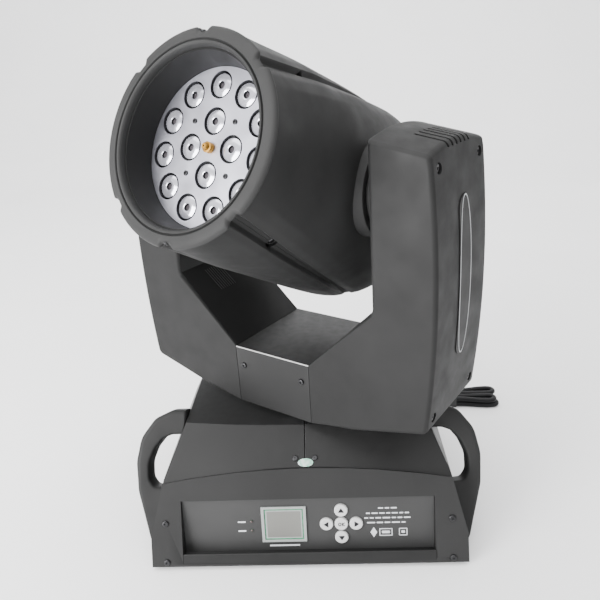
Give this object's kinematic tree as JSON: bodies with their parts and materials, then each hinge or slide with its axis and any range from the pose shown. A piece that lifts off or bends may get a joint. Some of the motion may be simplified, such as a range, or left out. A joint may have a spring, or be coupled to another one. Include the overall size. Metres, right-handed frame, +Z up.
{
  "type": "moving head light",
  "caption": "Stage moving head light: panning yoke on a keyed control base, tilting cylindrical head with a ring of lenses around a brass fog nozzle.",
  "frame": {"origin": "on the pan axis, centre of the bracket bolt pattern, in the underside of the base floor", "axes": "+Z up along the pan axis, -Y towards the control panel, +X to the right seen from the control panel; the rest pose has the yoke panned 32.9 degrees and the head tipped up 24 degrees"},
  "size_m": [0.4804, 0.4084, 0.539],
  "materials": {
    "moulded_black": "fine matte texture",
    "sheet_black": "satin powder coat",
    "plate_grey": "satin film",
    "steel": "plain",
    "aluminium": "machined",
    "silver_plate": "satin anodised",
    "screw_steel": "bright",
    "key_grey": "satin",
    "rubber": "matte",
    "clear_lens": "clear moulded",
    "brass": "machined",
    "board_green": "solder mask",
    "frame_white": "printed frame",
    "badge": "screen printed",
    "connector_black": "matte",
    "tank_white": "translucent",
    "motor_grey": "black"
  },
  "bodies": {
    "base": {"base_pan": "steel", "feet": "rubber", "front_panel": "moulded_black", "rear_panel": "sheet_black", "rear_sockets": "connector_black", "cover_left": "sheet_black", "cover_right": "sheet_black", "handle_left": "moulded_black", "handle_right": "moulded_black", "base_screws": "screw_steel", "control_plate": "plate_grey", "lcd_frame": "frame_white", "display_board": "board_green", "base_frame": "steel", "pan_bearing": "steel", "pan_motor": "motor_grey", "pan_belt": "rubber", "power_supply": "steel", "fluid_tank": "tank_white", "cord_gland": "rubber", "cord_lead": "rubber", "cord_hank": "rubber", "cord_tie": "rubber", "power_plug": "rubber"},
    "yoke": {"yoke_hub": "aluminium", "yoke_crossbar": "steel", "arm_frames": "steel", "tilt_bearings": "steel", "yoke_saddle": "sheet_black", "arm_shell_left": "moulded_black", "arm_shell_right": "moulded_black", "inner_panel_left": "sheet_black", "inner_panel_right": "sheet_black", "side_labels": "badge", "yoke_screws": "screw_steel", "tilt_motor": "motor_grey", "tilt_belt": "rubber"},
    "head": {"bezel": "moulded_black", "head_shell_left": "moulded_black", "head_shell_right": "moulded_black", "head_shell_top": "moulded_black", "head_shell_bottom": "moulded_black", "rear_cap": "moulded_black", "baffle_tube": "moulded_black", "lens_plate": "silver_plate", "lens_plate_screws": "screw_steel", "lenses": "clear_lens", "led_board": "frame_white", "heat_sink": "aluminium", "nozzle": "brass", "heater_block": "aluminium", "head_chassis": "steel", "trunnions": "sheet_black"},
    "pan_pinion": {"pan_motor_pulley": "motor_grey"},
    "tilt_pinion": {"tilt_motor_pulley": "motor_grey"},
    "key_ok": {"button_ok": "key_grey"},
    "key_up": {"button_up": "key_grey"},
    "key_down": {"button_down": "key_grey"},
    "key_left": {"button_left": "key_grey"},
    "key_right": {"button_right": "key_grey"}
  },
  "joints": [
    {"name": "pan", "type": "hinge", "parent": "base", "child": "yoke", "pos_m": [0, 0, 0.13], "axis": [0, 0, 1], "range_deg": [-237.1, 302.9]},
    {"name": "tilt", "type": "hinge", "parent": "yoke", "child": "head", "pos_m": [0, 0, 0.3843], "axis": [0.8396, -0.5432, 0], "range_deg": [-192, 60]},
    {"name": "pan_motor_spin", "type": "hinge", "parent": "base", "child": "pan_pinion", "pos_m": [-0.082, 0, 0.108], "axis": [0, 0, 1], "range_deg": [-970.95, 1240.14]},
    {"name": "tilt_motor_spin", "type": "hinge", "parent": "yoke", "child": "tilt_pinion", "pos_m": [0.13266, -0.08582, 0.29], "axis": [0.8396, -0.5432, 0], "range_deg": [-653.8, 205]},
    {"name": "press_ok", "type": "slide", "parent": "base", "child": "key_ok", "axis": [0, 0.9866, -0.1633], "range_m": [0, 0.001], "stiffness_N_per_m": 900, "springref_m": -0.0004},
    {"name": "press_up", "type": "slide", "parent": "base", "child": "key_up", "axis": [0, 0.9866, -0.1633], "range_m": [0, 0.001], "stiffness_N_per_m": 900, "springref_m": -0.0004},
    {"name": "press_down", "type": "slide", "parent": "base", "child": "key_down", "axis": [0, 0.9866, -0.1633], "range_m": [0, 0.001], "stiffness_N_per_m": 900, "springref_m": -0.0004},
    {"name": "press_left", "type": "slide", "parent": "base", "child": "key_left", "axis": [0, 0.9866, -0.1633], "range_m": [0, 0.001], "stiffness_N_per_m": 900, "springref_m": -0.0004},
    {"name": "press_right", "type": "slide", "parent": "base", "child": "key_right", "axis": [0, 0.9866, -0.1633], "range_m": [0, 0.001], "stiffness_N_per_m": 900, "springref_m": -0.0004}
  ],
  "couplings": [
    {"joint": "pan_motor_spin", "follows": "pan", "ratio": 4.0909},
    {"joint": "tilt_motor_spin", "follows": "tilt", "ratio": 3.4}
  ]
}
